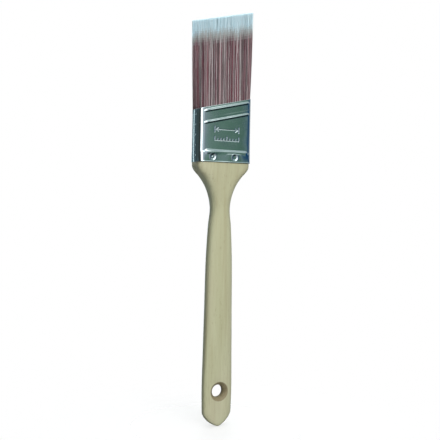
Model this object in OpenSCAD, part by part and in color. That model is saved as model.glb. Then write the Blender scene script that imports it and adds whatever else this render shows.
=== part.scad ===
// Angled sash paint brush, bristles up. Millimetres, +Z up along the brush.
// Origin: centre of the hang hole. X runs across the width, +X on the long-bristle side.
// The front face looks along -Y.

/* [Brush] */
// Width of the bristle pack inside the ferrule
pack_w = 38.1; // [36:0.1:42]
// Thickness of the bristle pack inside the ferrule
pack_t = 15.2; // [14:0.1:17]
// Angle of the ferrule's top edge and beads, in degrees
slant = 13; // [8:1:16]
// Angle of the trimmed tips, in degrees
trim_slant = 14; // [8:1:16]

/* [Ferrule] */
// Height of the ferrule on its centre line
ferrule_h = 40; // [38:1:46]
// Thickness of the ferrule's sheet steel
wall = 0.4; // [0.3:0.05:0.6]
// Outer radius of the ferrule's four upright corners
corner_r = 2.8; // [2:0.1:4]
// Height of the pressed beads above the ferrule's face
bead_h = 0.6; // [0.3:0.1:1]
// Width of each of the two slanted beads
slant_bead_w = 2; // [1.8:0.1:3]
// Width of the level bead above the nails
level_bead_w = 4; // [3:0.5:5]
// Width of the seam where the ferrule's strip laps over itself
seam_w = 5; // [4:0.5:7]

/* [Filaments] */
// Length of the filaments above the ferrule on the centre line
trim_len = 60; // [50:1:66]
// How far the tips spread past the ferrule's inside on each narrow side
tip_flare = 2; // [0:0.1:2]
// Thickness of the brush just below the tips
tip_t = 13.4; // [10:0.1:15]
// Height over which the tips are bevelled to the trimmed edge
tip_bevel = 1; // [1:0.5:5]
// How much higher the back tips end than the front ones
tip_rise = 2; // [0:0.5:3]

/* [Handle] */
// Length of the handle below the ferrule
handle_len = 180; // [170:1:190]
// Distance from the free end to the centre of the hang hole
hole_from_end = 24; // [22:1:27]
// Width of the handle at the hang hole
butt_w = 21.7; // [20:0.1:24]
// Thickness of the handle at the hang hole
butt_t = 8.4; // [8:0.1:10]
// Width of the neck below the ferrule
neck_w = 13.7; // [12:0.1:16]
// Thickness of the neck
neck_t = 12.6; // [11:0.1:14]
// Height of the shoulder, from the neck up to the ferrule
shoulder_h = 30; // [26:1:34]
// Height of the tenon inside the ferrule
tenon_h = 14; // [12:1:16]
// Diameter of the hang hole at its narrowest
hole_d = 8.5; // [7:0.1:9]
// Diameter of the hang hole's countersunk mouth
hole_mouth_d = 13.2; // [11:0.1:14]
// Depth of the countersink on each face
countersink_h = 2.95; // [2:0.05:3.5]

/* [Setting] */
// Height of the resin that sets the filaments
resin_h = 10; // [8:1:12]
// Width of the spacer plug
plug_w = 33; // [28:1:35]
// Thickness of the spacer plug
plug_t = 3; // [2:0.5:4]
// Height of the spacer plug
plug_h = 18; // [14:1:18]

/* [Nails] */
// Distance between the two nails on each face
nail_spacing = 16.6; // [14:0.1:20]
// How far the nails' middle lies towards the short-bristle side
nail_offset = 2; // [0:0.5:3]
// Height of the nails above the ferrule's bottom edge
nail_rise = 3.4; // [3:0.1:4]
// Diameter of a nail's shank
nail_d = 1.2; // [1:0.1:1.6]
// Diameter of a nail's domed head
nail_head_d = 2; // [1.8:0.1:2.4]
// Length of a nail under its head
nail_len = 6.5; // [5:0.5:7]
// Diameter of the dimple that each nail is driven into
dimple_d = 4; // [3:0.5:4.5]

/* [Hidden] */
$fn = 48;

slope = tan(slant);
trim_slope = tan(trim_slant);
tilt = tip_rise / tip_t;
ferrule_w = pack_w + 2 * wall;
ferrule_t = pack_t + 2 * wall;
ferrule_z = handle_len - hole_from_end;
rim_z = ferrule_z + ferrule_h;
tip_z = rim_z + trim_len;
tenon_z = ferrule_z + tenon_h;
resin_z = tenon_z + resin_h;
plug_z = tenon_z + 2;
neck_z = ferrule_z - shoulder_h;

// Slanted beads: distance below the rim, measured on the centre line
slant_bead_drops = [2.5, 10.3];
level_bead_rise = 6.5;
bead_end_x = ferrule_w / 2 - corner_r;

dimple_depth = 0.25;
nail_head_h = 0.5;
nail_tip_h = 1.5;
nail_gap = 0.02;

// Handle, from the hang hole up to the neck: how far up, and how far the width
// and the thickness have gone from the butt's towards the neck's
grip_shape = [[0.2, 0.11, 0.38], [0.44, 0.25, 0.71], [0.75, 0.44, 0.9], [0.9, 0.72, 0.95]];
// Shoulder, from the neck up to the ferrule: the same three fractions
shoulder_shape = [[0.27, 0.11, 0.24], [0.53, 0.37, 0.53], [0.7, 0.66, 0.76], [0.8, 0.88, 0.93],
    [0.87, 0.98, 1]];
// Edge radius as a share of the half thickness, and squareness of the section
// (0 is a rounded rectangle, 1 an ellipse), at the butt, the neck and the ferrule
edge_share = [0.71, 0.86, corner_r / (ferrule_t / 2)];
squareness = [0.3, 0.45, 0.12];

// Rounded free end of the handle, and the loss of half width and half thickness where it starts
heel_loss = 0.3;
end_len = 9.5;
end_power = 1.5;
end_edge = 3;
end_thin = 1.6;
end_rings = 7;
grip_rings = 28;
shoulder_rings = 12;
ring_points = 28;

function mix(a, b, t) = a + (b - a) * t;
function part_way(from, to, shape) = [for (s = shape) station(from, to, s)];
// A station of the handle: height, half width, half thickness, edge share, squareness
function station(from, to, s) = [
    mix(from[0], to[0], s[0]), mix(from[1], to[1], s[1]), mix(from[2], to[2], s[2]),
    mix(from[3], to[3], s[0]), mix(from[4], to[4], s[0])];

butt = [0, butt_w / 2, butt_t / 2, edge_share[0], squareness[0]];
heel = [end_len - hole_from_end, butt_w / 2 - heel_loss, butt_t / 2 - heel_loss,
    edge_share[0], squareness[0]];
neck = [neck_z, neck_w / 2, neck_t / 2, edge_share[1], squareness[1]];
collar = [ferrule_z, ferrule_w / 2, ferrule_t / 2, edge_share[2], squareness[2]];
stations = concat([heel, butt], part_way(butt, neck, grip_shape), [neck],
    part_way(neck, collar, shoulder_shape), [collar]);
last = len(stations) - 1;

// Smooth curve through the stations
function rise(k) = (stations[k + 1] - stations[k]) / (stations[k + 1][0] - stations[k][0]);
function run(k) = stations[k + 1][0] - stations[k][0];
function tangent(k) = k == 0 ? rise(0)
    : k == last ? rise(last - 1)
    : (run(k) * rise(k - 1) + run(k - 1) * rise(k)) / (run(k - 1) + run(k));
function span(z, k = 0) = (k >= last - 1 || z < stations[k + 1][0]) ? k : span(z, k + 1);
function hermite(k, t) =
    stations[k] * (2 * pow(t, 3) - 3 * pow(t, 2) + 1)
    + tangent(k) * run(k) * (pow(t, 3) - 2 * pow(t, 2) + t)
    + stations[k + 1] * (3 * pow(t, 2) - 2 * pow(t, 3))
    + tangent(k + 1) * run(k) * (pow(t, 3) - pow(t, 2));
function handle_at(z) = hermite(span(z), (z - stations[span(z)][0]) / run(span(z)));

// Width and thickness shrink towards the free end, d above it
function end_width(d) = pow(1 - pow(1 - d / end_len, end_power), 1 / end_power);
function end_loss(d) = d >= end_edge ? 0 : end_thin * (1 - sqrt(1 - pow(1 - d / end_edge, 2)));
function end_at(d) = [d - hole_from_end, heel[1] * end_width(d), heel[2] - end_loss(d), heel[3], heel[4]];

function signed_pow(v, p) = sign(v) * pow(abs(v), p);
// One ring of the handle: an edge circle carried round a squarish core
function ring(s) = let (r = min(s[1], s[2]) * s[3])
    [for (i = [0 : ring_points - 1]) let (a = 360 * i / ring_points)
        [r * cos(a) + (s[1] - r) * signed_pow(cos(a), s[4]),
         r * sin(a) + (s[2] - r) * signed_pow(sin(a), s[4]), s[0]]];
end_depths = [for (i = [1 : end_rings - 1]) end_len * (1 - cos(90 * i / end_rings))];
body_z = concat(
    [for (i = [0 : grip_rings - 1]) mix(heel[0], neck_z, i / grip_rings)],
    [for (i = [0 : shoulder_rings]) mix(neck_z, ferrule_z, i / shoulder_rings)]);
handle_rings = concat([for (d = end_depths) ring(end_at(d))], [for (z = body_z) ring(handle_at(z))]);

// Half of a rounded rectangle, the half at negative y, rising by lean along X and by tilt along Y
function half_ring(w, t, r, z, lean, tilt) = [for (p = concat(
    [[w / 2, 0]],
    [for (a = [0 : 22.5 : 90]) [w / 2 - r + r * cos(a), -(t / 2 - r) - r * sin(a)]],
    [for (a = [90 : 22.5 : 180]) [-w / 2 + r + r * cos(a), -(t / 2 - r) - r * sin(a)]],
    [[-w / 2, 0]])) [p[0], p[1], z + p[0] * lean + p[1] * tilt]];

// Solid skinned over a stack of rings with the same number of points
module stack(rings) {
    n = len(rings[0]);
    top = (len(rings) - 1) * n;
    polyhedron(
        points = [for (r = rings) each r],
        faces = concat(
            [[for (i = [0 : n - 1]) i]],
            [[for (i = [n - 1 : -1 : 0]) top + i]],
            [for (k = [0 : len(rings) - 2], i = [0 : n - 1])
                each [[k * n + i, (k + 1) * n + i, k * n + (i + 1) % n],
                      [k * n + (i + 1) % n, (k + 1) * n + i, (k + 1) * n + (i + 1) % n]]]));
}

module rounded_rect(w, t, r) {
    square([w - 2 * r, t], center = true);
    square([w, t - 2 * r], center = true);
    for (x = [-1, 1], y = [-1, 1]) {
        translate([x * (w / 2 - r), y * (t / 2 - r)]) circle(r);
    }
}

// Everything below the slanted rim of the ferrule
module below_rim() {
    reach = ferrule_w;
    rotate([90, 0, 0])
        linear_extrude(2 * ferrule_t, center = true)
            polygon([[-reach, ferrule_z], [reach, ferrule_z],
                [reach, rim_z + reach * slope], [-reach, rim_z - reach * slope]]);
}

// Rounded bar lying along X with tapered ends, sunk into the front face to stand bead_h proud
module bead(width, length) {
    r = (pow(bead_h, 2) + pow(width / 2, 2)) / (2 * bead_h);
    translate([0, r - bead_h - ferrule_t / 2, 0]) {
        rotate([0, 90, 0]) cylinder(h = length, r = r, center = true);
        for (side = [-1, 1]) {
            translate([side * length / 2, 0, 0])
                rotate([0, side * 90, 0]) cylinder(h = width / 2, r1 = r, r2 = r - bead_h);
        }
    }
}

module face_beads() {
    tip_round = slant_bead_w / 2;
    for (drop = slant_bead_drops) {
        translate([0, 0, rim_z - drop])
            rotate([0, -slant, 0]) bead(slant_bead_w, 2 * (bead_end_x - tip_round) / cos(slant));
    }
    translate([0, 0, ferrule_z + level_bead_rise])
        bead(level_bead_w, 2 * (bead_end_x - level_bead_w / 2));
}

// Puts its children at one nail, with +Z pointing out of its face. side is -1 for left and
// 1 for right, face is -1 for front and 1 for back
module at_nail(side, face) {
    translate([side * nail_spacing / 2 - nail_offset, face * ferrule_t / 2, ferrule_z + nail_rise])
        rotate([face * -90, 0, 0]) children();
}

module at_all_nails() {
    for (side = [-1, 1], face = [-1, 1]) at_nail(side, face) children();
}

module nail(side, face) {
    head_r = nail_head_d / 2;
    dome_r = (pow(head_r, 2) + pow(nail_head_h, 2)) / (2 * nail_head_h);
    color("gainsboro")
        at_nail(side, face)
            translate([0, 0, -dimple_depth]) {
                intersection() {
                    translate([0, 0, nail_head_h - dome_r]) sphere(dome_r);
                    cylinder(h = nail_head_h, r = head_r);
                }
                translate([0, 0, nail_tip_h - nail_len])
                    cylinder(h = nail_len - nail_tip_h, r = nail_d / 2);
                translate([0, 0, -nail_len])
                    cylinder(h = nail_tip_h, r1 = 0.1, r2 = nail_d / 2);
            }
}

module handle() {
    color("burlywood")
        difference() {
            union() {
                stack(handle_rings);
                translate([0, 0, ferrule_z])
                    linear_extrude(tenon_h) rounded_rect(pack_w, pack_t, corner_r - wall);
            }
            rotate([90, 0, 0]) cylinder(h = 2 * butt_t, d = hole_d, center = true);
            for (face = [-1, 1]) {
                rotate([face * -90, 0, 0])
                    translate([0, 0, butt_t / 2 - countersink_h])
                        cylinder(h = 2 * countersink_h, d1 = hole_d, d2 = 2 * hole_mouth_d - hole_d);
            }
            at_all_nails()
                translate([0, 0, -dimple_depth - nail_len - nail_gap])
                    cylinder(h = nail_len, r = nail_d / 2 + nail_gap);
        }
}

module ferrule() {
    tall = ferrule_h + ferrule_w * slope;
    color("silver")
        difference() {
            union() {
                intersection() {
                    union() {
                        translate([0, 0, ferrule_z])
                            linear_extrude(tall) rounded_rect(ferrule_w, ferrule_t, corner_r);
                        translate([-ferrule_w / 2 - wall / 2, -seam_w / 2, ferrule_z])
                            cube([wall, seam_w, tall]);
                    }
                    below_rim();
                }
                face_beads();
                mirror([0, 1, 0]) face_beads();
            }
            translate([0, 0, ferrule_z - 1])
                linear_extrude(tall + 2) rounded_rect(pack_w, pack_t, corner_r - wall);
            at_all_nails() {
                translate([0, 0, -dimple_depth])
                    cylinder(h = 2 * dimple_depth, d1 = nail_head_d, d2 = 2 * dimple_d - nail_head_d);
                translate([0, 0, -2]) cylinder(h = 3, r = nail_d / 2 + nail_gap);
            }
        }
}

module spacer_plug() {
    color("wheat")
        translate([-plug_w / 2, -plug_t / 2, plug_z]) cube([plug_w, plug_t, plug_h]);
}

module resin_setting() {
    color("darkkhaki")
        difference() {
            translate([0, 0, tenon_z])
                linear_extrude(resin_h) rounded_rect(pack_w, pack_t, corner_r - wall);
            spacer_plug();
        }
}

module filament_bank(tilt) {
    r = corner_r - wall;
    tip_w = pack_w + 2 * tip_flare;
    narrowing = tip_bevel / 5;
    color("rosybrown")
        difference() {
            stack([
                half_ring(pack_w, pack_t, r, resin_z, 0, 0),
                half_ring(pack_w, pack_t, r, rim_z, slope, 0),
                half_ring(tip_w, tip_t, r, tip_z - tip_bevel, trim_slope, tilt),
                half_ring(tip_w - narrowing, tip_t - tip_bevel, r, tip_z, trim_slope, tilt)]);
            spacer_plug();
        }
}

module front_filament_bank() { filament_bank(tilt); }
module back_filament_bank() { mirror([0, 1, 0]) filament_bank(-tilt); }
module front_left_nail() { nail(-1, -1); }
module front_right_nail() { nail(1, -1); }
module back_left_nail() { nail(-1, 1); }
module back_right_nail() { nail(1, 1); }

handle();
ferrule();
resin_setting();
spacer_plug();
front_filament_bank();
back_filament_bank();
front_left_nail();
front_right_nail();
back_left_nail();
back_right_nail();
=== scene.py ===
"""Looks of an angled sash paint brush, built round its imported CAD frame.

Shapes are worked out in millimetres, and angles in degrees."""

import math

import bpy
import numpy as np
from mathutils import Matrix, Vector


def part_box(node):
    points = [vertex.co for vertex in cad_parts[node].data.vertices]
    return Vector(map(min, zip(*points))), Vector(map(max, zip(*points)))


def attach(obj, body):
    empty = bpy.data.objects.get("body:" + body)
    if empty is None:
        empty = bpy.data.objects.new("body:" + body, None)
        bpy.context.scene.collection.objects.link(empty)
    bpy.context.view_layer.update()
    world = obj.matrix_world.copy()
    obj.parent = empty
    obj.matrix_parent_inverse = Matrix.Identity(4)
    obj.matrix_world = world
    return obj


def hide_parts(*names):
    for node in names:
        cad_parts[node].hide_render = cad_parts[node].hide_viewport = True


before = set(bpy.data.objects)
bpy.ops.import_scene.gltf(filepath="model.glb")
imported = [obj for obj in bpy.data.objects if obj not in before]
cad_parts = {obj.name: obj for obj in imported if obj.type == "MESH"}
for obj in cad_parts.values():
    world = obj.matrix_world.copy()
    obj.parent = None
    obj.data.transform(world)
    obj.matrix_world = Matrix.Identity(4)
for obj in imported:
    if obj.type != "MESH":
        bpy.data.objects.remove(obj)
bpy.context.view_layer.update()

MM = 0.001


def box_mm(node):
    """Lowest and highest corner of a CAD node, in millimetres."""
    return [np.array(corner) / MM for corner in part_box(node)]


# Where the CAD puts things
HANDLE_END = -24.0
FERRULE_LOW, FERRULE_HIGH = box_mm("ferrule")
NAIL_BOXES = {name: box_mm(name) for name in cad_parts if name.endswith("_nail")}
FERRULE_Z = FERRULE_LOW[2]
HALF_W = FERRULE_HIGH[0]
SLOPE = math.tan(math.radians(13))
TRIM_SLOPE = math.tan(math.radians(14))
RIM_Z = FERRULE_HIGH[2] - HALF_W * SLOPE
TRIM_LEN = 60
TIP_Z = RIM_Z + TRIM_LEN

# Ferrule
HALF_T = 8.0
WALL = 0.4
CORNER_R = 2.8
BEAD_H = 0.6
SLANT_BEAD_W = 2.0
SLANT_BEAD_DROPS = (2.5, 10.3)
SLANT_BEAD_END = HALF_W - CORNER_R + 0.8
BEAD_RUN_OUT = 2.4
LEVEL_BEAD_W = 4.0
LEVEL_BEAD_H = 0.5
LEVEL_BEAD_RISE = 6.5
LEVEL_BEAD_END = HALF_W - CORNER_R + 0.4
# How a bead swells near its left end: share of its height, distance from the end, and reach
SLANT_SWELLING = (0.35, 2.4, 1.5)
LEVEL_SWELLING = (0.45, 6, 5)
# A faint ridge above the lower slanted bead: its height, how far above the bead it runs, and half its width
RIDGE_H = 0.05
RIDGE_ABOVE_BEAD = 2.4
RIDGE_HALF_W = 0.5
# The band with the nails: how proud it stands, how much more at its foot and how far up that is gone,
# the lip at its foot, and its swell between the nails
BAND_PROUD = 0.32
BAND_LEAN = 0.25
BAND_LEAN_TOP = 5
BAND_LIP = 0.2
BAND_SWELL = 0.38
NAIL_HEAD_R = 1.05
DIMPLE_R = 2.3
DIMPLE_DEPTH = 0.62
DIMPLE_LIP = 0.07
DENT_R = 3.4
DENT_DEPTH = 0.12
FACE_CROWN = 0.33
SIDE_CROWN = 0.2
SEAM_HALF_W = 2.5
SEAM_PROUD = 0.09
SEAM_EDGE = 0.05
SIDE_SINK = 0.36
WELDS = 5
WELD_FIRST = 4.5
WELD_PITCH = 6.9
WELD_DEPTH = 0.1
STAMP_DEPTH = 0.13
STAMP_HALF_LINE = 0.24
UNSTAMPED = 99.0
WAVES = 9
WAVE_SEED = 7
OUTSIDE_ROWS = 186

# Filament bundle
PACK_HALF_W = HALF_W - WALL
PACK_HALF_T = HALF_T - WALL
TIP_HALF_W = PACK_HALF_W + 2
TIP_HALF_T = 6.7
TIP_BEVEL = 0.6
TIP_TILT = 1 / TIP_HALF_T
BUNDLE_CORNER_R = 2.4
STRAND_R = 0.13


# ---------------------------------------------------------------- meshes


def new_piece(name, points, faces, materials, slots=None, sharp_deg=None):
    """A smooth-shaded mesh object from points in millimetres."""
    mesh = bpy.data.meshes.new(name)
    mesh.from_pydata((np.asarray(points) * MM).tolist(), [], [tuple(f) for f in faces])
    for material in materials:
        mesh.materials.append(material)
    if slots is not None:
        mesh.polygons.foreach_set("material_index", np.asarray(slots, dtype=np.int32))
    mesh.shade_smooth()
    if sharp_deg is not None:
        mesh.set_sharp_from_angle(angle=math.radians(sharp_deg))
    piece = bpy.data.objects.new(name, mesh)
    bpy.context.scene.collection.objects.link(piece)
    return piece


def ring_faces(rings, size):
    """Quads between successive rings of the same size, with a cap on the first and the last."""
    i = np.arange(size)
    j = (i + 1) % size
    quads = [
        np.stack([k * size + i, k * size + j, (k + 1) * size + j, (k + 1) * size + i], axis=1)
        for k in range(rings - 1)
    ]
    return np.concatenate(quads).tolist() + [i[::-1].tolist(), (i + (rings - 1) * size).tolist()]


def smoothstep(low, high, x):
    t = np.clip((x - low) / (high - low), 0, 1)
    return t * t * (3 - 2 * t)


# ---------------------------------------------------------------- handle

# Half width and half thickness at the butt, where the hang hole is, and at the neck
BUTT_HALF = (10.85, 4.2)
NECK_HALF = (6.85, 6.3)
NECK_BELOW_FERRULE = 30
# The rounded free end: its length and curve, and over what length and how much its faces thin
END_LEN, END_POWER, END_EDGE, END_THIN = 9.5, 1.5, 3.0, 1.6
END_RINGS = 23
HEEL_LOSS = 0.3
# Corner radius as a share of the half thickness, and how far from square the section is: butt, neck, collar
EDGE_SHARES = (0.71, 0.86, CORNER_R / HALF_T)
SQUARENESS = (0.3, 0.45, 0.12)
# Stations between two others: shares of the way in height, width and thickness
GRIP_SHAPE = ((0.2, 0.11, 0.38), (0.44, 0.25, 0.71), (0.75, 0.44, 0.9), (0.9, 0.72, 0.95))
SHOULDER_SHAPE = (
    (0.27, 0.11, 0.24), (0.53, 0.37, 0.53), (0.7, 0.66, 0.76), (0.8, 0.88, 0.93), (0.87, 0.98, 1),
)
# The small round on the shoulder's top edge: drop below the ferrule's foot, and inset
SHOULDER_ROUND = ((0.45, 0.03), (0.25, 0.1), (0.1, 0.2), (0, 0.36))
TENON_GAP = 0.02
TENON_SHOWN = 5
TENON_EDGE_SHARE = 0.33
RING_QUARTER = 30
RING_PITCH = 0.8


def between(start, end, shape):
    """Stations between two others, for each (height, width, thickness) share of the way."""
    return [start + (end - start) * np.array([z, w, t, z, z]) for z, w, t in shape]


def handle_stations():
    """Rows of height, half width, half thickness, edge share and squareness, as the CAD's handle has them."""
    butt = np.array([0, *BUTT_HALF, EDGE_SHARES[0], SQUARENESS[0]])
    heel = butt - [-HANDLE_END - END_LEN, HEEL_LOSS, HEEL_LOSS, 0, 0]
    neck = np.array([FERRULE_Z - NECK_BELOW_FERRULE, *NECK_HALF, EDGE_SHARES[1], SQUARENESS[1]])
    collar = np.array([FERRULE_Z, HALF_W, HALF_T, EDGE_SHARES[2], SQUARENESS[2]])
    return np.array(
        [heel, butt, *between(butt, neck, GRIP_SHAPE), neck, *between(neck, collar, SHOULDER_SHAPE), collar]
    )


def curve_through(stations, heights):
    """The stations' values at each height, on a smooth curve."""
    run = np.diff(stations[:, 0])[:, None]
    rise = np.diff(stations, axis=0) / run
    inner = (run[1:] * rise[:-1] + run[:-1] * rise[1:]) / (run[:-1] + run[1:])
    tangent = np.concatenate([rise[:1], inner, rise[-1:]])
    k = np.clip(np.searchsorted(stations[:, 0], heights, side="right") - 1, 0, len(run) - 1)
    t = ((heights - stations[k, 0]) / run[k, 0])[:, None]
    return (
        stations[k] * (2 * t**3 - 3 * t**2 + 1)
        + tangent[k] * run[k] * (t**3 - 2 * t**2 + t)
        + stations[k + 1] * (3 * t**2 - 2 * t**3)
        + tangent[k + 1] * run[k] * (t**3 - t**2)
    )


def quarter_section(a, b, share, squareness):
    """A quarter of the handle's section, from (a, 0) to (0, b).

    Its points are spread by how far the section turns as well as by its length."""
    samples = 600
    angle = (0.5 - 0.5 * np.cos(np.linspace(0, math.pi, samples))) * math.pi / 2
    r = min(a, b) * share
    c, s = np.cos(angle), np.sin(angle)
    c[-1] = 0
    s[0] = 0
    x = r * c + (a - r) * c**squareness
    y = r * s + (b - r) * s**squareness
    dx, dy = np.diff(x), np.diff(y)
    turn = np.abs(np.diff(np.unwrap(np.arctan2(dy, dx)), prepend=np.arctan2(dy[0], dx[0])))
    turn[0] = 0
    length = np.hypot(dx, dy)
    measure = np.concatenate([[0], np.cumsum(length / length.sum() + turn / turn.sum())])
    wanted = np.linspace(0, measure[-1], RING_QUARTER + 1)
    return np.interp(wanted, measure, x), np.interp(wanted, measure, y)


def full_section(a, b, share, squareness, z):
    """One ring of the handle at height z."""
    x, y = quarter_section(a, b, share, squareness)
    xs = np.concatenate([x[:-1], -x[:0:-1], -x[:-1], x[:0:-1]])
    ys = np.concatenate([y[:-1], y[:0:-1], -y[:-1], -y[:0:-1]])
    return np.stack([xs, ys, np.full_like(xs, z)], axis=1)


def handle_rings():
    """Sections of the handle from its free end up to the tenon."""
    stations = handle_stations()
    heel = stations[0]
    rings = []
    for d in END_LEN * (1 - np.cos(np.linspace(0.05, math.pi / 2, END_RINGS + 1)[:-1])):
        width = heel[1] * (1 - (1 - d / END_LEN) ** END_POWER) ** (1 / END_POWER)
        loss = END_THIN * (1 - math.sqrt(1 - (1 - d / END_EDGE) ** 2)) if d < END_EDGE else 0
        rings.append(full_section(width, heel[2] - loss, heel[3], heel[4], HANDLE_END + d))
    heights = np.concatenate([np.arange(heel[0], FERRULE_Z - 0.9, RING_PITCH), [FERRULE_Z - 0.7]])
    for z, a, b, share, squareness in curve_through(stations, heights):
        rings.append(full_section(a, b, share, squareness, z))
    share, squareness = EDGE_SHARES[2], SQUARENESS[2]
    for drop, inset in SHOULDER_ROUND:
        rings.append(full_section(HALF_W - inset, HALF_T - inset, share, squareness, FERRULE_Z - drop))
    # The tenon inside the ferrule, only as far up as could be seen
    half_w, half_t = PACK_HALF_W - TENON_GAP, PACK_HALF_T - TENON_GAP
    for rise in (TENON_GAP, TENON_SHOWN):
        rings.append(full_section(half_w, half_t, TENON_EDGE_SHARE, squareness, FERRULE_Z + rise))
    return rings


# The hang hole's profile: distance from the handle's middle plane, and radius
HOLE_PROFILE = (
    (1.2, 4.25), (1.5, 4.35), (2.0, 4.66), (2.6, 5.08), (3.2, 5.52),
    (3.7, 5.93), (4.0, 6.25), (4.16, 6.62), (4.24, 7.3), (4.27, 9.0), (6.0, 9.0),
)
HOLE_SIDES = 96


def hole_cutter():
    """A body of revolution about the Y axis with the hang hole's shape."""
    angle = np.linspace(0, 2 * math.pi, HOLE_SIDES, endpoint=False)
    profile = [(-y, r) for y, r in HOLE_PROFILE[::-1]] + list(HOLE_PROFILE)
    across, up = np.cos(angle), -np.sin(angle)
    rings = [np.stack([r * across, np.full(HOLE_SIDES, y), r * up], axis=1) for y, r in profile]
    return new_piece("hole_cutter", np.concatenate(rings), ring_faces(len(rings), HOLE_SIDES), [])


def make_handle(material):
    """The handle with its hang hole cut through it."""
    rings = handle_rings()
    faces = ring_faces(len(rings), 4 * RING_QUARTER)
    handle = new_piece("wooden_handle", np.concatenate(rings), faces, [material])
    cutter = hole_cutter()
    cut = handle.modifiers.new("hang_hole", "BOOLEAN")
    cut.operation = "DIFFERENCE"
    cut.solver = "EXACT"
    cut.object = cutter
    shaped = bpy.data.meshes.new_from_object(handle.evaluated_get(bpy.context.evaluated_depsgraph_get()))
    handle.modifiers.clear()
    handle.data = shaped
    handle.data.shade_smooth()
    handle.data.set_sharp_from_angle(angle=math.radians(28))
    bpy.data.objects.remove(cutter)
    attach(handle, "root")
    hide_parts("handle")


# ---------------------------------------------------------------- ferrule


def ferrule_outline():
    """Samples round the ferrule's outside, from the middle of the front face.

    Gives the distance from there, x, y and the outward normal."""
    flat_w, flat_t = HALF_W - CORNER_R, HALF_T - CORNER_R
    arc = CORNER_R * math.pi / 2
    side_start = flat_w + arc
    far_corner = side_start + 2 * flat_t
    back_start = far_corner + arc
    half_round = back_start + flat_w
    right = np.concatenate(
        [
            np.arange(0, flat_w, 0.19),
            np.linspace(flat_w, side_start, 18)[:-1],
            side_start + flat_t + across_side(),
            np.linspace(far_corner, back_start, 18)[:-1],
            np.arange(back_start, half_round, 0.24),
            [half_round],
        ]
    )
    s = np.concatenate([right, -right[-2:0:-1]])
    a = np.abs(s)
    x, y, nx, ny = (np.zeros_like(s) for _ in range(4))
    for start, end, place in (
        (0, flat_w, lambda d: (d, -HALF_T, 0, -1)),
        (flat_w, side_start, lambda d: corner_point(flat_w, -flat_t, d / CORNER_R - math.pi / 2)),
        (side_start, far_corner, lambda d: (HALF_W, d - flat_t, 1, 0)),
        (far_corner, back_start, lambda d: corner_point(flat_w, flat_t, d / CORNER_R)),
        (back_start, math.inf, lambda d: (flat_w - d, HALF_T, 0, 1)),
    ):
        inside = (a >= start) & (a < end)
        for values, value in zip((x, y, nx, ny), place(a[inside] - start)):
            values[inside] = value
    x *= np.where(s < 0, -1, 1)
    nx *= np.where(s < 0, -1, 1)
    return s, x, y, nx, ny


def across_side():
    """Samples across a narrow side, with a close pair at each edge of the seam."""
    seam_edge = np.array([SEAM_HALF_W - 0.06, SEAM_HALF_W + 0.06])
    return np.concatenate(
        [
            np.arange(-5.2, -2.6, 0.3),
            -seam_edge[::-1],
            np.arange(-2.2, 2.3, 0.3),
            seam_edge,
            np.arange(2.8, 5.2, 0.3),
        ]
    )


def corner_point(cx, cy, angle):
    """Point and normal on a rounded corner whose centre is (cx, cy)."""
    c, s = np.cos(angle), np.sin(angle)
    return cx + CORNER_R * c, cy + CORNER_R * s, c, s


def bead_height(s, off_line, width, end, height, swelling):
    """Height of a pressed bead that runs out in slender ends at s = end and is swollen near the left one.

    The swelling is its share of the height, its distance from the end and its reach."""
    distance = np.hypot(np.maximum(np.abs(s) - end + BEAD_RUN_OUT, 0) / BEAD_RUN_OUT, off_line / (width / 2))
    more, from_end, reach = swelling
    swollen = 1 + more * np.exp(-(((s + end - from_end) / reach) ** 2))
    return height * swollen * np.maximum(1 - distance**2, 0) ** 1.35


def face_relief(s, x, z):
    """Beads and nail band of one wide face. s is the distance from the face's middle line."""
    cos_slant = 1 / math.hypot(1, SLOPE)
    relief = np.zeros_like(z)
    for drop in SLANT_BEAD_DROPS:
        off_line = (z - (RIM_Z - drop + SLOPE * x)) * cos_slant
        bead = bead_height(s, off_line, SLANT_BEAD_W, SLANT_BEAD_END, BEAD_H, SLANT_SWELLING)
        relief = np.maximum(relief, bead)
    # The sheet is pulled into a faint ridge above the lower slanted bead, at its long-bristle end
    ridge = RIDGE_H * np.exp(-(((off_line - RIDGE_ABOVE_BEAD) / RIDGE_HALF_W) ** 2))
    relief += ridge * smoothstep(-14, 6, x)
    return np.maximum(relief, low_band(s, z - FERRULE_Z))


def low_band(s, up):
    """The level bead, and below it the band with the nails, which stands proud of the panel."""
    above = np.maximum(up - LEVEL_BEAD_RISE, 0)
    crest = bead_height(s, above, LEVEL_BEAD_W, LEVEL_BEAD_END, LEVEL_BEAD_H, LEVEL_SWELLING)
    band = BAND_PROUD + BAND_LEAN * (1 - up / BAND_LEAN_TOP)
    band *= 1 - smoothstep(LEVEL_BEAD_RISE - 0.5, LEVEL_BEAD_RISE + 1.2, up)
    band += BAND_LIP * (1 - smoothstep(0.1, 0.8, up))
    # The sheet swells between the nails and sinks again past the right one
    band += BAND_SWELL * smoothstep(-7, 5, s) * (1 - smoothstep(7, 19, s)) * (1 - smoothstep(5.4, 6.8, up))
    band *= 1 - smoothstep(HALF_W - CORNER_R + 0.5, HALF_W - CORNER_R + 3.5, np.abs(s))
    return band + np.maximum(crest - band, 0) * smoothstep(LEVEL_BEAD_RISE - 2.4, LEVEL_BEAD_RISE, up)


def nail_centres():
    """(x, z) of the nails in the front face; the back face has the same."""
    return [
        ((low[0] + high[0]) / 2, (low[2] + high[2]) / 2)
        for name, (low, high) in sorted(NAIL_BOXES.items())
        if name.startswith("front")
    ]


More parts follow.
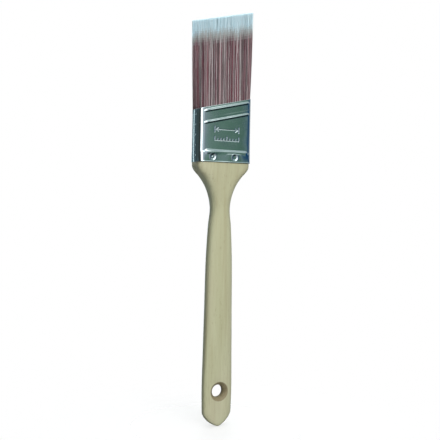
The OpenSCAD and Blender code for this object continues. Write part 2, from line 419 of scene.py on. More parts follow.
def dimples(x, z):
    """The pressed hollows round the nails, each with a raised lip in a wide shallow dent."""
    relief = np.zeros_like(z)
    for nail_x, nail_z in nail_centres():
        r = np.hypot(x - nail_x, z - nail_z)
        relief -= DIMPLE_DEPTH * (1 - smoothstep(NAIL_HEAD_R, DIMPLE_R, r))
        relief += DIMPLE_LIP * np.exp(-(((r - DIMPLE_R - 0.15) / 0.35) ** 2))
        relief -= DENT_DEPTH * np.exp(-((r / DENT_R) ** 2)) * (1 - np.exp(-((r / 1.5) ** 4)))
    return relief


def crown(from_middle, x, y, z):
    """How the sheet bulges between its upright corners, less at the handle and the rim."""
    held = smoothstep(0, 4, z - FERRULE_Z) * (0.5 + 0.5 * smoothstep(0, 3, RIM_Z + SLOPE * x - z))
    across = np.clip(np.abs(from_middle) / (HALF_W - CORNER_R + 1.2), 0, 1)
    along_side = np.clip(np.abs(y) / (HALF_T - CORNER_R), 0, 1)
    return held * (FACE_CROWN * (1 - across**5) + SIDE_CROWN * (1 - along_side**2))


def stamp_strokes():
    """Stamped width mark: a double-headed arrow between two bars, over a short rule.

    Each stroke is x0, z0, x1, z1."""
    half, arrow_z, rule_z = 9.2, FERRULE_Z + 22.0, FERRULE_Z + 14.6
    strokes = [(-half + 0.9, arrow_z, half - 0.9, arrow_z)]
    for side in (-1, 1):
        tip = side * (half - 0.8)
        strokes.append((side * half, arrow_z - 1.9, side * half, arrow_z + 1.9))
        for up in (-1, 1):
            strokes.append((tip, arrow_z, tip - side * 1.9, arrow_z + up * 1.15))
    strokes.append((-half, rule_z, half, rule_z))
    for k in range(9):
        x = -half + k * half / 4
        strokes.append((x, rule_z, x, rule_z + (2.5 if k % 4 == 0 else 1.4)))
    return strokes


def stamp_distance(x, z):
    """Distance to the nearest stroke of the stamped mark."""
    nearest = np.full_like(z, UNSTAMPED)
    for x0, z0, x1, z1 in stamp_strokes():
        length2 = (x1 - x0) ** 2 + (z1 - z0) ** 2
        t = np.clip(((x - x0) * (x1 - x0) + (z - z0) * (z1 - z0)) / length2, 0, 1)
        nearest = np.minimum(nearest, np.hypot(x - x0 - t * (x1 - x0), z - z0 - t * (z1 - z0)))
    return nearest


def waviness(s, z):
    """The sheet's faint unevenness, in millimetres."""
    rng = np.random.default_rng(WAVE_SEED)
    total = np.zeros_like(z)
    for _ in range(WAVES):
        along, up = rng.uniform(-0.45, 0.45), rng.uniform(0.12, 0.6)
        total += rng.uniform(0.003, 0.008) * np.sin(along * s + up * z + rng.uniform(0, 6.28))
    return total


def ferrule_relief(s, x, y, z):
    """How far the ferrule's outside stands proud of its plain box, and how far off the stamped mark is."""
    half_round = np.abs(s).max()
    front = y < 0
    from_back = (half_round - np.abs(s)) * np.where(s < 0, -1, 1)
    from_middle = np.where(front, s, from_back)
    relief = face_relief(from_middle, x, z)
    on_face = np.abs(from_middle) < HALF_W - CORNER_R
    relief += np.where(on_face, dimples(x, z), 0) + crown(from_middle, x, y, z)
    stamp = np.where(front & on_face, stamp_distance(x, z), UNSTAMPED)
    relief -= STAMP_DEPTH * (1 - smoothstep(0.1, 0.36, stamp))
    on_side = np.abs(y) < HALF_T - CORNER_R
    relief += np.where(x < 0, seam_relief(y, z, on_side), 0)
    relief += waviness(s, z) * np.where(on_side, 0.3, 1)
    return relief, stamp


def seam_relief(y, z, on_side):
    """The strip laps over itself on the short-bristle side, held by spot welds, and sinks behind the lap."""
    lap = SEAM_PROUD * (1 - smoothstep(SEAM_HALF_W - SEAM_EDGE, SEAM_HALF_W + SEAM_EDGE, np.abs(y)))
    sunken = np.clip((y - 1.4) / 2.1, 0, 1) * (1 - smoothstep(6.2, HALF_T, y))
    relief = np.where(on_side, lap, 0) - SIDE_SINK * sunken
    for k in range(WELDS):
        weld = np.hypot(y, z - FERRULE_Z - WELD_FIRST - WELD_PITCH * k)
        relief -= np.where(on_side, WELD_DEPTH * (1 - smoothstep(0.45, 0.95, weld)), 0)
    return relief


def make_ferrule(steel, stamped):
    """The ferrule as an open band, with its pressed relief on the outside."""
    s, x, y, nx, ny = ferrule_outline()
    top = RIM_Z + SLOPE * x
    # Rows round the foot's edge, up the outside, over the rim and down the inside: share of the height,
    # rise in mm, and inset
    rows = [(0, 3.0, WALL), (0, 0.1, WALL), (0, 0, 0.3), (0, 0, 0.16), (0, 0.05, 0.05)]
    rows += [(v, 0.15, 0) for v in np.linspace(0, 0.993, OUTSIDE_ROWS)]
    rows += [(1, -0.06, 0.03), (1, 0, 0.14), (1, 0, 0.28), (1, -0.1, WALL), (1, -1.5, WALL), (1, -8, WALL)]
    points, marks = [], []
    for share, rise, inset in rows:
        z = FERRULE_Z + share * (top - FERRULE_Z) + rise
        relief, stamp = ferrule_relief(s, x, y, z)
        out = np.where(inset < 0.3, relief, 0) - inset
        points.append(np.stack([x + nx * out, y + ny * out, z], axis=1))
        marks.append(stamp)
    faces = ring_faces(len(rows), len(s))[:-2]
    mark = np.stack(marks)
    in_mark = (mark[:-1] < STAMP_HALF_LINE) & (np.roll(mark, -1, axis=1)[1:] < STAMP_HALF_LINE)
    slots = in_mark.ravel().astype(int)
    ferrule = new_piece(
        "steel_ferrule", np.concatenate(points), faces, [steel, stamped], slots=slots, sharp_deg=50
    )
    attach(ferrule, "root")
    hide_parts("ferrule")


# ---------------------------------------------------------------- filaments

# Distances from a filament's tip at which it has a ring
STRAND_STEPS = np.array([0, 0.6, 2, 4, 6, 7.5, 9, 10.5, 12, 13.5, 15, 17, 20, 25, 32, 40, 48, 57, 64.0])
STUB_STEPS = np.array([0, 0.6, 3.5, 9.0])
STRAND_PITCH = 0.25
LAYERS = 5
FIRST_LAYER_DEPTH = 0.14
LAYER_PITCH = 0.27
# How unevenly the tips end
TIP_SCATTER = 0.12
# Least and greatest distance between two clumps, and how much a clump sways its filaments' shade
CLUMP_GAP = (0.4, 1.1)
CLUMP_SWAY = 0.82
# Pale stray filaments: how common, and how much thicker
STRAY_SHARE = 0.06
STRAY_SWELL = 1.5
BRISTLE_SEED = 585
# The tips inside the bundle: inset from its outside, pitch, jitter and thickness
STUB_INSET = 0.8
STUB_PITCH = 0.33
STUB_JITTER = 0.14
STUB_GIRTH = 1.1
STUB_SEED = 11
# The core, painted dark as shade between the filaments: its top as a share of the trimmed length, how far
# below the rim it starts, and its corners
CORE_TOP = 0.86
CORE_SUNK = 3
CORE_CORNER_R = 1.2
CORE_SIDES = 96
CORE_RINGS = 14

# Dyed shades of the filaments, dark to light, and how common each is
SHADES = (
    (0.085, 0.030, 0.042),
    (0.175, 0.050, 0.067),
    (0.125, 0.094, 0.093),
    (0.300, 0.108, 0.131),
    (0.205, 0.168, 0.167),
    (0.275, 0.182, 0.192),
    (0.280, 0.246, 0.246),
    (0.390, 0.310, 0.318),
    (0.590, 0.540, 0.540),
)
SHADE_SHARES = (0.08, 0.13, 0.12, 0.13, 0.17, 0.14, 0.12, 0.07, 0.04)
TIP_SHADES = ((0.60, 0.76, 0.82), (0.52, 0.70, 0.77), (0.68, 0.82, 0.87))
# Below the pale tips the dye comes in through grey: in so many steps, round a middle so far from the tips,
# over so long a stretch, and lower by a share of x
FADE_SHADE = (0.41, 0.41, 0.40)
FADE_STEPS = 5
FADE_MIDDLE = 13.4
FADE_LEN = 10.5
FADE_SKEW = 0.05


def outline_point(share, half_w, half_t, r):
    """Points and normals on a rounded rectangle, at shares of the way round from its front's middle."""
    flat_w, flat_t, arc = half_w - r, half_t - r, r * math.pi / 2
    half_round = 2 * (flat_w + arc + flat_t)
    side = np.where(share < 0, -1, 1)
    d = np.abs(share) * half_round
    bends = [flat_w, flat_w + arc, flat_w + arc + 2 * flat_t, flat_w + 2 * arc + 2 * flat_t]
    first, second = (d - bends[0]) / r - math.pi / 2, (d - bends[2]) / r
    zone = [d < bend for bend in bends]
    nil, one = 0 * d, 1 + 0 * d
    xs = [d, flat_w + r * np.cos(first), half_w * one, flat_w + r * np.cos(second)]
    ys = [-half_t * one, -flat_t + r * np.sin(first), d - bends[1] - flat_t, flat_t + r * np.sin(second)]
    x = np.select(zone, xs, flat_w - (d - bends[3]))
    y = np.select(zone, ys, half_t)
    nx = np.select(zone, [nil, np.cos(first), one, np.cos(second)], 0)
    ny = np.select(zone, [-one, np.sin(first), nil, np.sin(second)], 1)
    return np.stack([x * side, y], axis=-1), np.stack([nx * side, ny], axis=-1)


def trim_drop(x, y):
    """How far below the slanted trim plane's middle line a filament at (x, y) ends.

    The tips are bevelled at the faces and drop at the long corner, and the back ones stand higher."""
    from_face = np.maximum(TIP_HALF_T - np.abs(y), 0)
    long_corner = np.maximum(x - TIP_HALF_W + 1.2, 0)
    return TIP_BEVEL * np.clip(1 - from_face / 0.9, 0, 1) ** 2 + 0.7 * long_corner**2 - TIP_TILT * y


def clump_centres(rng, total):
    """Places round the bundle where filaments gather, as shares of the way from -1 to 1."""
    gaps = rng.uniform(*CLUMP_GAP, 500)
    centres = np.cumsum(gaps)
    return centres[centres < total] / total * 2 - 1


def shade_numbers(rng, bias):
    """A shade for each filament, drawn to its clump's bias between 0 and 1."""
    order = np.argsort(np.argsort(CLUMP_SWAY * bias + (1 - CLUMP_SWAY) * rng.random(len(bias))))
    return np.searchsorted(np.cumsum(SHADE_SHARES) / sum(SHADE_SHARES), order / len(bias))


def filament_paths(rng):
    """The filaments in the bundle's outer layers: centre lines, shades, fade heights, and which stray."""
    total = 2 * (2 * PACK_HALF_W + 2 * PACK_HALF_T)
    count = int(total / STRAND_PITCH)
    centres = clump_centres(rng, total)
    # Neighbouring clumps differ, so that the streaks stay narrow
    clump_bias = np.cumsum(rng.uniform(0.3, 0.7, len(centres))) % 1
    clump_depth = rng.uniform(-0.35, 0.15, len(centres))
    clump_fade, clump_lean = rng.normal(0, 0.5, len(centres)), rng.normal(0, 0.3, len(centres))
    # Height of each ring as a share of the trimmed length, from 1 at the tip to 0 at the rim
    f = np.clip((TRIM_LEN - STRAND_STEPS[None, :] + np.zeros((count, 1))) / TRIM_LEN, 0, 1)
    swell = np.sin(math.pi * f**0.8)
    paths, shades, fades, strays = [], [], [], []
    for layer in range(LAYERS):
        depth = FIRST_LAYER_DEPTH + LAYER_PITCH * layer
        share = (np.arange(count) + rng.uniform(-0.4, 0.4, count)) / count * 2 - 1
        clump = np.argmin(np.abs(share[:, None] - centres[None, :]), axis=1)
        pull = (0.5 - 0.07 * layer) * rng.uniform(0.6, 1.1, count)
        gather = pull[:, None] * smoothstep(0, 0.3, f) * (1 - smoothstep(0.6, 0.85, f))
        where = share[:, None] + (centres[clump] - share)[:, None] * gather
        wander = rng.normal(0, 0.22, count)[:, None]
        wander = wander * np.sin(math.pi * f * rng.uniform(0.8, 2.2, count)[:, None])
        lean = (clump_lean[clump] + rng.normal(0, 0.25, count))[:, None] * f**1.5
        where = where + (wander + lean) / total * 2
        root, normal = outline_point(where, PACK_HALF_W - depth, PACK_HALF_T - depth, BUNDLE_CORNER_R - depth)
        tip, _ = outline_point(where, TIP_HALF_W - depth, TIP_HALF_T - depth, BUNDLE_CORNER_R - depth)
        proud = (clump_depth[clump] + rng.normal(0, 0.07, count))[:, None] * swell + 0.22 * swell
        xy = root + (tip - root) * f[..., None] + normal * proud[..., None]
        end = tip[:, 0]
        drop = trim_drop(end[:, 0], end[:, 1]) + rng.exponential(TIP_SCATTER, count)
        slope = SLOPE + (TRIM_SLOPE - SLOPE) * f
        z = RIM_Z + slope * xy[..., 0] + TRIM_LEN - drop[:, None] - STRAND_STEPS[None, :]
        paths.append(np.concatenate([xy, z[..., None]], axis=-1))
        stray = (rng.random(count) < STRAY_SHARE) & (layer == 0)
        strays.append(stray)
        shades.append(np.where(stray, len(SHADES) - 1, shade_numbers(rng, clump_bias[clump])))
        clump_middle = FADE_MIDDLE + FADE_SKEW * end[:, 0] - drop + clump_fade[clump]
        fades.append(clump_middle + rng.normal(0, 1.2, count))
    return [np.concatenate(rows) for rows in (paths, shades, fades, strays)]


def strand_mesh(paths, radii):
    """Four-sided tubes along the paths, which run from tip to root: points, quads and each quad's step."""
    count, steps = paths.shape[:2]
    corner = np.array([[1, 0, 0], [0, 1, 0], [-1, 0, 0], [0, -1, 0]], dtype=float)
    points = paths[:, :, None, :] + radii[:, :, None, None] * corner[None, None]
    i = np.arange(4)
    ring = np.stack([i, i + 4, (i + 1) % 4 + 4, (i + 1) % 4], axis=1)
    tube = (ring[None] + 4 * np.arange(steps - 1)[:, None, None]).reshape(-1, 4)
    caps = np.array([[0, 1, 2, 3], [4 * steps - 1, 4 * steps - 2, 4 * steps - 3, 4 * steps - 4]])
    one = np.concatenate([tube, caps])
    faces = (one[None] + 4 * steps * np.arange(count)[:, None, None]).reshape(-1, 4)
    step_of = np.concatenate([np.repeat(np.arange(steps - 1), 4), [0, steps - 2]])
    return points.reshape(-1, 3), faces, np.tile(step_of, count)


def fade_slots(shades, fades, steps, tip_shade):
    """Material slot of each strand and step: tip shades first, then each shade's fade from pale to full."""
    middle = (steps[:-1] + steps[1:]) / 2
    level = np.clip((middle[None, :] - fades[:, None]) / FADE_LEN + 0.5, 0, 1)
    level = np.round(level * FADE_STEPS).astype(int)
    dyed = len(TIP_SHADES) + shades[:, None] * FADE_STEPS + level - 1
    return np.where(level == 0, tip_shade[:, None], dyed)


def strand_radii(rng, count, steps):
    """Radius at each step: the filaments taper to a fine tip."""
    taper = np.interp(steps, [0, 0.6, 4, 20, 63], [0.3, 0.66, 0.85, 1, 1.05])
    return STRAND_R * taper[None, :] * rng.uniform(0.85, 1.15, count)[:, None]


def make_bristles(materials):
    """The filaments of both banks, one piece for each."""
    rng = np.random.default_rng(BRISTLE_SEED)
    paths, shades, fades, strays = filament_paths(rng)
    radii = strand_radii(rng, len(paths), STRAND_STEPS) * np.where(strays, STRAY_SWELL, 1)[:, None]
    tip_shade = rng.integers(0, len(TIP_SHADES), len(paths))
    for name, chosen in (("front_bristles", paths[:, -1, 1] < 0), ("back_bristles", paths[:, -1, 1] >= 0)):
        count = int(chosen.sum())
        points, faces, step_of = strand_mesh(paths[chosen], radii[chosen])
        slots = fade_slots(shades[chosen], fades[chosen], STRAND_STEPS, tip_shade[chosen])
        strand_of = np.repeat(np.arange(count), len(step_of) // count)
        piece = new_piece(name, points, faces, materials, slots=slots[strand_of, step_of])
        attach(piece, "root")
        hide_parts("front_filament_bank" if name.startswith("front") else "back_filament_bank")


def make_tip_field(materials):
    """The ends of the filaments inside the bundle, which fill its slanted top."""
    rng = np.random.default_rng(STUB_SEED)
    half_w, half_t, r = TIP_HALF_W - STUB_INSET, TIP_HALF_T - STUB_INSET, BUNDLE_CORNER_R - STUB_INSET
    x, y = np.meshgrid(np.arange(-half_w, half_w, STUB_PITCH), np.arange(-half_t, half_t, STUB_PITCH))
    x, y = (v.ravel() + rng.uniform(-STUB_JITTER, STUB_JITTER, v.size) for v in (x, y))
    inside = np.hypot(np.maximum(np.abs(x) - half_w + r, 0), np.maximum(np.abs(y) - half_t + r, 0)) < r
    x, y = x[inside], y[inside]
    z = TIP_Z + TRIM_SLOPE * x - trim_drop(x, y) - rng.exponential(TIP_SCATTER, x.size)
    down = STUB_STEPS[None, :] / TRIM_LEN
    lean = rng.normal(0, 0.025, (x.size, 2))
    paths = np.stack(
        [
            x[:, None] * (1 + (PACK_HALF_W / TIP_HALF_W - 1) * down) - lean[:, :1] * STUB_STEPS,
            y[:, None] * (1 + (PACK_HALF_T / TIP_HALF_T - 1) * down) - lean[:, 1:] * STUB_STEPS,
            z[:, None] - STUB_STEPS,
        ],
        axis=-1,
    )
    points, faces, step_of = strand_mesh(paths, strand_radii(rng, x.size, STUB_STEPS) * STUB_GIRTH)
    tone = rng.integers(0, len(TIP_SHADES), x.size)
    piece = new_piece("bristle_tips", points, faces, materials, slots=np.repeat(tone, len(step_of) // x.size))
    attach(piece, "root")
    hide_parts("front_filament_bank", "back_filament_bank")


def make_core(material):
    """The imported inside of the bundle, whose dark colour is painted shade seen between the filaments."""
    rings = []
    share = np.linspace(-1, 1, CORE_SIDES + 1)[:-1]
    inset = FIRST_LAYER_DEPTH + LAYER_PITCH * (LAYERS - 0.6)
    for f in np.linspace(0, CORE_TOP, CORE_RINGS):
        half_w = PACK_HALF_W + (TIP_HALF_W - PACK_HALF_W) * f - inset
        half_t = PACK_HALF_T + (TIP_HALF_T - PACK_HALF_T) * f - inset
        xy, _ = outline_point(share, half_w, half_t, CORE_CORNER_R)
        z = RIM_Z + SLOPE * xy[:, 0] - CORE_SUNK + f * (TRIM_LEN + CORE_SUNK)
        rings.append(np.column_stack([xy, z]))
    faces = ring_faces(len(rings), len(share))
    piece = new_piece("bristle_core", np.concatenate(rings), faces, [material], sharp_deg=40)
    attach(piece, "root")
    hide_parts("front_filament_bank", "back_filament_bank")


# ---------------------------------------------------------------- materials


def add(tree, kind, inputs=None, **settings):
    """Adds a shader node. An input's value is a constant or another node's output."""
    node = tree.nodes.new("ShaderNode" + kind)
    for name, value in settings.items():
        setattr(node, name, value)
    for socket, value in (inputs or {}).items():
        if isinstance(value, bpy.types.NodeSocket):
            tree.links.new(value, node.inputs[socket])
        else:
            node.inputs[socket].default_value = value
    return node


def math_node(tree, operation, *values):
    return add(tree, "Math", dict(enumerate(values)), operation=operation).outputs[0]


def mix_colour(tree, share, a, b):
    return add(tree, "Mix", {0: share, 6: a, 7: b}, data_type="RGBA", clamp_factor=True).outputs[2]


def remap(tree, value, low, high, to_low=0.0, to_high=1.0):
    """Runs smoothly from to_low to to_high while the value goes from low to high."""
    return add(
        tree, "MapRange", {0: value, 1: low, 2: high, 3: to_low, 4: to_high}, interpolation_type="SMOOTHSTEP"
    ).outputs[0]


def noise(tree, coords, scale, stretch=(1, 1, 1), detail=3.0, roughness=0.55, distortion=0.0):
    """Noise with so many features to the metre, stretched by shares along each axis."""
    mapped = add(tree, "Mapping", {"Vector": coords, "Scale": [scale * k for k in stretch]}).outputs[0]
    return add(
        tree, "TexNoise",
        {"Vector": mapped, "Scale": 1.0, "Detail": detail, "Roughness": roughness, "Distortion": distortion},
    ).outputs[0]


def new_material(name, **sockets):
    """A material with one Principled shader, whose named sockets are set.

    Gives the material, its tree and the shader."""
    material = bpy.data.materials.new(name)
    material.use_nodes = True
    tree = material.node_tree
    shader = tree.nodes["Principled BSDF"]
    for socket, value in sockets.items():
        shader.inputs[socket.replace("_", " ")].default_value = value
    return material, tree, shader


def rgb(r, g, b):
    return (r, g, b, 1.0)


def wood_material():
    """Pale satin hardwood with the grain along the handle."""
    material, tree, shader = new_material("pale_wood", Coat_Weight=0.22, Coat_Roughness=0.28, IOR=1.48)
    place = add(tree, "TexCoord").outputs["Object"]
    tone = noise(tree, place, 95, (1, 1, 0.10), detail=4, distortion=0.4)
    rings = noise(tree, place, 420, (1, 1, 0.018), detail=2, roughness=0.5, distortion=0.6)
    fibre = noise(tree, place, 2600, (1, 1, 0.02), detail=3, roughness=0.6)
    fleck = remap(tree, noise(tree, place, 1500, (1, 1, 0.16), detail=1), 0.66, 0.74)
    patch = noise(tree, place, 38, (1, 1, 0.35), detail=2)
    colour = mix_colour(tree, remap(tree, tone, 0.3, 0.72), rgb(0.50, 0.485, 0.30), rgb(0.60, 0.60, 0.405))
    colour = mix_colour(tree, remap(tree, patch, 0.42, 0.7, 0, 0.35), colour, rgb(0.60, 0.52, 0.38))
    colour = mix_colour(tree, remap(tree, rings, 0.5, 0.68, 0, 0.24), colour, rgb(0.40, 0.33, 0.19))
    colour = mix_colour(tree, remap(tree, fibre, 0.45, 0.75, 0, 0.22), colour, rgb(0.34, 0.27, 0.15))
    colour = mix_colour(tree, math_node(tree, "MULTIPLY", fleck, 0.3), colour, rgb(0.25, 0.17, 0.09))
    # The hang hole is darker: partly its bare cut wood, partly painted shade inside the hole. A thin dark
    # line at the joint with the ferrule is painted shade in the crease
    x, y, z = (add(tree, "SeparateXYZ", {0: place}).outputs[k] for k in range(3))
    squares = [math_node(tree, "POWER", value, 2.0) for value in (x, z)]
    from_hole = math_node(tree, "SQRT", math_node(tree, "ADD", *squares))
    in_hole = remap(tree, from_hole, 6.4 * MM, 6.9 * MM, 0.8, 0.0)
    # Painted shade, together with the bare wood's own darker tone, inside the hang hole
    colour = mix_colour(tree, in_hole, colour, rgb(0.20, 0.15, 0.08))
    # Painted shade: a thin dark line where the wood meets the ferrule
    joint_shade = remap(tree, z, (FERRULE_Z - 0.55) * MM, (FERRULE_Z - 0.1) * MM, 0, 0.75)
    colour = mix_colour(tree, joint_shade, colour, rgb(0.13, 0.10, 0.06))
    tree.links.new(colour, shader.inputs["Base Color"])
    dull = math_node(tree, "MULTIPLY", in_hole, 0.3)
    roughness = math_node(tree, "ADD", remap(tree, tone, 0.3, 0.7, 0.40, 0.50), dull)
    tree.links.new(roughness, shader.inputs["Roughness"])
    grain, pores = math_node(tree, "MULTIPLY", fibre, 0.6), math_node(tree, "MULTIPLY", fleck, -0.5)
    height = math_node(tree, "ADD", grain, pores)
    bump = add(tree, "Bump", {"Height": height, "Strength": 0.35, "Distance": 0.06 * MM})
    tree.links.new(bump.outputs[0], shader.inputs["Normal"])
    return material


def steel_material(name, colour, rough_low, rough_high, bump_mm):
    """Bright stainless sheet, with faint level polishing lines and cloudy spots in the gloss."""
    material, tree, shader = new_material(name, Metallic=1.0)
    place = add(tree, "TexCoord").outputs["Object"]
    lines = noise(tree, place, 5200, (0.03, 0.03, 1), detail=3, roughness=0.6)
    clouds = noise(tree, place, 160, detail=4)
    smeared = rgb(*(0.82 * c for c in colour))
    tint = mix_colour(tree, remap(tree, clouds, 0.4, 0.75, 0, 0.5), rgb(*colour), smeared)
    tree.links.new(tint, shader.inputs["Base Color"])
    cloudy = remap(tree, clouds, 0.35, 0.7, rough_low, rough_high)
    roughness = math_node(tree, "ADD", cloudy, remap(tree, lines, 0.4, 0.7, 0.0, 0.05))
    tree.links.new(roughness, shader.inputs["Roughness"])
    bump = add(tree, "Bump", {"Height": lines, "Strength": 0.4, "Distance": bump_mm * MM})
    tree.links.new(bump.outputs[0], shader.inputs["Normal"])
    return material


def filament_materials():
    """Tip shades first, then for each dyed shade its steps from nearly pale to full colour."""
    made = [plain_filament(f"filament_tip_{k}", shade, 0.5) for k, shade in enumerate(TIP_SHADES)]
    for k, shade in enumerate(SHADES):
        for step in range(1, FADE_STEPS + 1):
            share = step / FADE_STEPS
            channels = zip(TIP_SHADES[0], FADE_SHADE, shade)
            colour = [np.interp(share, (0, 0.5, 1), levels) for levels in channels]
            made.append(plain_filament(f"filament_{k}_{step}", colour, 0.36))
    return made


def plain_filament(name, colour, roughness):
    return new_material(name, Base_Color=rgb(*(float(c) for c in colour)), Roughness=roughness, IOR=1.53)[0]


def core_shade_material():
    # Painted shade: near-black stands in for the shadowed filaments deep in the bundle
    return new_material("filament_core_painted_shade", Base_Color=rgb(0.030, 0.016, 0.020), Roughness=0.8)[0]


def resin_material():
    """Poured setting resin: amber and glossy, with clouds in it."""
    material, tree, shader = new_material("setting_resin", Roughness=0.15, Coat_Weight=0.4)
    place = add(tree, "TexCoord").outputs["Object"]
    clouds = noise(tree, place, 300, detail=4)
    colour = mix_colour(tree, remap(tree, clouds, 0.3, 0.7), rgb(0.20, 0.13, 0.04), rgb(0.34, 0.24, 0.09))
    tree.links.new(colour, shader.inputs["Base Color"])
    return material


def paint_cad_node(node, material):
    """Gives a carried-over CAD node a better material in every slot."""
    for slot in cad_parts[node].material_slots:
        slot.material = material


# ---------------------------------------------------------------- studio

# Round white floor just below the handle's end, in metres
FLOOR_R = 0.17
FLOOR_SIDES = 96
FLOOR_Z = HANDLE_END * MM - 0.0002

CAMERA_TARGET = Vector((0.0010, 0.0011, 0.1170))
CAMERA_AZIMUTH, CAMERA_ELEVATION, CAMERA_ROLL = -28.2, 0.69, 1.02
CAMERA_DISTANCE = 0.537
CAMERA_LENS = 64.0

# What shiny surfaces see round them, level with the brush, above it and below it: azimuth and colour
HORIZON = (
    (-180, (0.30, 0.38, 0.42)), (-177, (1.1, 1.4, 1.5)), (-167.5, (1.1, 1.4, 1.5)),
    (-164, (0.03, 0.09, 0.13)), (-158, (0.06, 0.11, 0.15)), (-153, (0.075, 0.12, 0.14)),
    (-149, (0.075, 0.11, 0.12)), (-143, (0.04, 0.05, 0.05)), (-101, (0.04, 0.05, 0.05)),
    (-95, (0.25, 0.30, 0.32)), (-85, (0.25, 0.30, 0.32)), (-80, (0.05, 0.06, 0.06)),
    (-74, (0.45, 0.50, 0.53)), (-14, (0.55, 0.66, 0.71)), (0, (0.50, 0.56, 0.64)),
    (15, (0.40, 0.46, 0.53)), (19, (0.28, 0.35, 0.39)), (22.5, (0.19, 0.29, 0.28)),
    (26, (0.155, 0.275, 0.22)), (30.5, (0.09, 0.18, 0.14)), (33, (0.08, 0.165, 0.13)),
    (35.2, (0.19, 0.29, 0.29)), (37, (0.08, 0.16, 0.21)), (39, (0.009, 0.065, 0.165)),
    (68, (0.009, 0.065, 0.165)), (78, (0.22, 0.28, 0.34)), (90, (0.42, 0.48, 0.53)),
    (102, (0.28, 0.34, 0.40)), (112, (0.16, 0.24, 0.31)), (125, (0.28, 0.36, 0.40)),
    (160, (0.30, 0.38, 0.42)), (180, (0.30, 0.38, 0.42)),
)
SKY = (
    (-180, (0.8, 0.95, 1.0)), (-150, (0.35, 0.4, 0.42)), (-80, (0.3, 0.33, 0.34)),
    (-74, (2.6, 2.8, 2.9)), (-30, (2.6, 2.8, 2.9)), (-15, (1.6, 1.8, 1.9)),
    (23.5, (2.1, 2.35, 2.35)), (29, (0.7, 0.85, 0.83)), (40, (0.45, 0.58, 0.6)),
    (150, (0.5, 0.6, 0.65)), (180, (0.8, 0.95, 1.0)),
)
GROUND = (
    (-180, (0.25, 0.28, 0.3)), (-80, (0.06, 0.07, 0.07)), (-74, (0.60, 0.65, 0.68)),
    (-18, (0.60, 0.65, 0.68)), (-10, (0.30, 0.33, 0.36)), (8, (0.2, 0.23, 0.25)),
    (20, (0.02, 0.035, 0.035)), (115, (0.02, 0.035, 0.045)), (128, (0.22, 0.26, 0.28)),
    (180, (0.25, 0.28, 0.3)),
)
# Elevations over which the level view gives way to the ground and to the sky
GROUND_FADE = (-9, -20)
SKY_FADE = (10, 30)
# A bright upright panel on the left: its first and last azimuth, its lowest elevation, and its soft edge
PANEL_FROM, PANEL_TO, PANEL_LOW, PANEL_SOFT = -77, -35, -5, 4
PANEL_COLOUR = (2.6, 2.8, 2.9)

# Soft lamps: name, height they are aimed at, azimuth, elevation, distance and size in metres,
# spread in degrees, power in watts, colour
LAMPS = (
    ("key", 0.117, -4, 18, 0.9, 0.6, 180, 6.0, (1.0, 1.0, 0.98)),
    ("front_fill", 0.117, -10, 0, 1.0, 0.7, 180, 2.0, (0.97, 1.0, 1.0)),
    ("right_fill", 0.117, 132, 10, 0.9, 0.5, 180, 1.0, (0.95, 0.99, 1.0)),
    ("back_fill", 0.117, 154, 22, 1.0, 0.5, 180, 4.8, (0.96, 1.0, 1.0)),
    ("left_fill", 0.117, -110, 20, 1.0, 0.5, 180, 0.03, (0.93, 0.98, 1.0)),
    ("floor_bounce", 0.140, -74, -72, 0.9, 0.4, 180, 1.7, (1.0, 0.99, 0.9)),
    ("bristle_side", 0.252, -105, 5, 0.25, 0.06, 22, 0.011, (0.93, 0.98, 1.0)),
    ("top", 0.117, 0, 88, 0.8, 0.6, 180, 6.0, (1.0, 1.0, 1.0)),
)


def seen_from(target, azimuth, elevation, distance):
    """A point that far from the target, in that direction."""
    a, e = math.radians(azimuth), math.radians(elevation)
    return target + Vector((math.sin(a) * math.cos(e), -math.cos(a) * math.cos(e), math.sin(e))) * distance


def aim(thing, target, roll=0.0):
    look = (target - thing.location).to_track_quat("-Z", "Y")
    thing.rotation_euler = (look.to_matrix() @ Matrix.Rotation(math.radians(roll), 3, "Z")).to_euler()


def make_camera():
    data = bpy.data.cameras.new("camera")
    data.lens = CAMERA_LENS
    data.sensor_width = 36.0
    data.clip_start = 0.01
    camera = bpy.data.objects.new("camera", data)
    bpy.context.scene.collection.objects.link(camera)
    camera.location = seen_from(CAMERA_TARGET, CAMERA_AZIMUTH, CAMERA_ELEVATION, CAMERA_DISTANCE)
    aim(camera, CAMERA_TARGET, CAMERA_ROLL)
    bpy.context.scene.camera = camera


def make_lamps():
    for name, height, azimuth, elevation, distance, size, spread, power, colour in LAMPS:
        target = Vector((0, 0, height))
        data = bpy.data.lights.new(name, "AREA")
        data.size = size
        data.spread = math.radians(spread)
        data.energy = power
        data.color = colour
        lamp = bpy.data.objects.new(name, data)
        bpy.context.scene.collection.objects.link(lamp)
        lamp.location = seen_from(target, azimuth, elevation, distance)
        aim(lamp, target)
        lamp.visible_camera = False
        lamp.visible_glossy = False


def ring_colour(tree, azimuth, stops):
    """A colour that changes with the azimuth, which runs from -pi to pi."""
    ramp = add(tree, "ValToRGB", {0: remap_level(tree, azimuth, -math.pi, math.pi)})
    elements = ramp.color_ramp.elements
    while len(elements) < len(stops):
        elements.new(0.5)
    # Moving a stop can put it in another place among the stops, so the colours come last
    for element, (degrees, _) in zip(elements, stops):
        element.position = degrees / 360 + 0.5
    for element, (_, colour) in zip(elements, stops):
        element.color = rgb(*colour)
    return ramp.outputs[0]


def remap_level(tree, value, low, high):
    return add(tree, "MapRange", {0: value, 1: low, 2: high}).outputs[0]


def panel_share(tree, azimuth, elevation):
    """How far a direction lies inside the bright panel, from 0 to 1."""
    share = 1.0
    for value, edge, sign in ((azimuth, PANEL_FROM, 1), (azimuth, PANEL_TO, -1), (elevation, PANEL_LOW, 1)):
        start, end = (math.radians(edge - sign * PANEL_SOFT), math.radians(edge + sign * PANEL_SOFT))
        share = math_node(tree, "MULTIPLY", share, remap(tree, value, start, end))
    return share


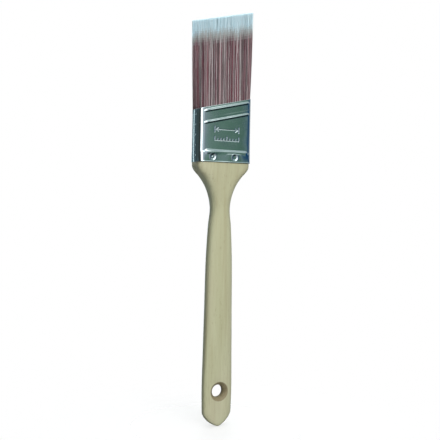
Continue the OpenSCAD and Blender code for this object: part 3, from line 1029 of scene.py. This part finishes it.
def make_world():
    """White behind the brush, soft light for matt surfaces, and a studio's surroundings for shiny ones."""
    world = bpy.data.worlds.new("studio")
    bpy.context.scene.world = world
    world.use_nodes = True
    tree = world.node_tree
    tree.nodes.clear()
    direction = add(tree, "SeparateXYZ", {0: add(tree, "TexCoord").outputs["Generated"]}).outputs
    azimuth = math_node(tree, "ARCTAN2", direction[0], math_node(tree, "MULTIPLY", direction[1], -1.0))
    elevation = math_node(tree, "ARCSINE", direction[2])
    shine = ring_colour(tree, azimuth, HORIZON)
    for (start, end), stops in ((GROUND_FADE, GROUND), (SKY_FADE, SKY)):
        share = remap(tree, elevation, math.radians(start), math.radians(end))
        shine = mix_colour(tree, share, shine, ring_colour(tree, azimuth, stops))
    shine = mix_colour(tree, panel_share(tree, azimuth, elevation), shine, rgb(*PANEL_COLOUR))
    rays = add(tree, "LightPath").outputs
    up = remap(tree, direction[2], -0.8, 0.9)
    soft_light = mix_colour(tree, up, rgb(0.03, 0.05, 0.06), rgb(0.07, 0.085, 0.095))
    colour = mix_colour(tree, rays["Is Glossy Ray"], soft_light, shine)
    colour = mix_colour(tree, rays["Is Camera Ray"], colour, rgb(1, 1, 1))
    background = add(tree, "Background", {"Color": colour})
    output = add(tree, "OutputWorld")
    tree.links.new(background.outputs[0], output.inputs[0])


def make_floor():
    """A pale floor under the standing brush that fades into the white round it."""
    mesh = bpy.data.meshes.new("floor")
    angle = np.linspace(0, 2 * math.pi, FLOOR_SIDES, endpoint=False)
    points = [(FLOOR_R * math.cos(a), FLOOR_R * math.sin(a), FLOOR_Z) for a in angle]
    mesh.from_pydata(points, [], [list(range(FLOOR_SIDES))])
    floor = bpy.data.objects.new("floor", mesh)
    bpy.context.scene.collection.objects.link(floor)
    material, tree, shader = new_material("pale_floor", Base_Color=rgb(0.93, 0.94, 0.94), Roughness=0.9)
    place = add(tree, "TexCoord").outputs["Object"]
    flat = add(tree, "VectorMath", {0: place, 1: (1, 1, 0)}, operation="MULTIPLY").outputs[0]
    out = add(tree, "VectorMath", {0: flat}, operation="LENGTH").outputs["Value"]
    clear = add(tree, "BsdfTransparent")
    clearness = remap(tree, out, 0.03, 0.16, 0.7, 1.0)
    mix = add(tree, "MixShader", {0: clearness, 1: shader.outputs[0], 2: clear.outputs[0]})
    tree.links.new(mix.outputs[0], tree.nodes["Material Output"].inputs["Surface"])
    mesh.materials.append(material)
    floor.visible_glossy = False
    floor.visible_diffuse = False


def main():
    scene = bpy.context.scene
    scene.view_settings.view_transform = "Standard"
    make_camera()
    make_lamps()
    make_world()
    make_floor()

    make_handle(wood_material())
    steel = steel_material("ferrule_steel", (0.64, 0.68, 0.68), 0.09, 0.17, 0.003)
    stamped = steel_material("stamped_steel", (0.80, 0.82, 0.82), 0.4, 0.55, 0.02)
    make_ferrule(steel, stamped)
    filaments = filament_materials()
    make_bristles(filaments)
    make_tip_field(filaments[: len(TIP_SHADES)])
    make_core(core_shade_material())

    nail_steel = steel_material("nail_steel", (0.78, 0.80, 0.80), 0.12, 0.22, 0.006)
    for name in NAIL_BOXES:
        paint_cad_node(name, nail_steel)
    paint_cad_node("resin_setting", resin_material())
    paint_cad_node("spacer_plug", wood_material())


main()
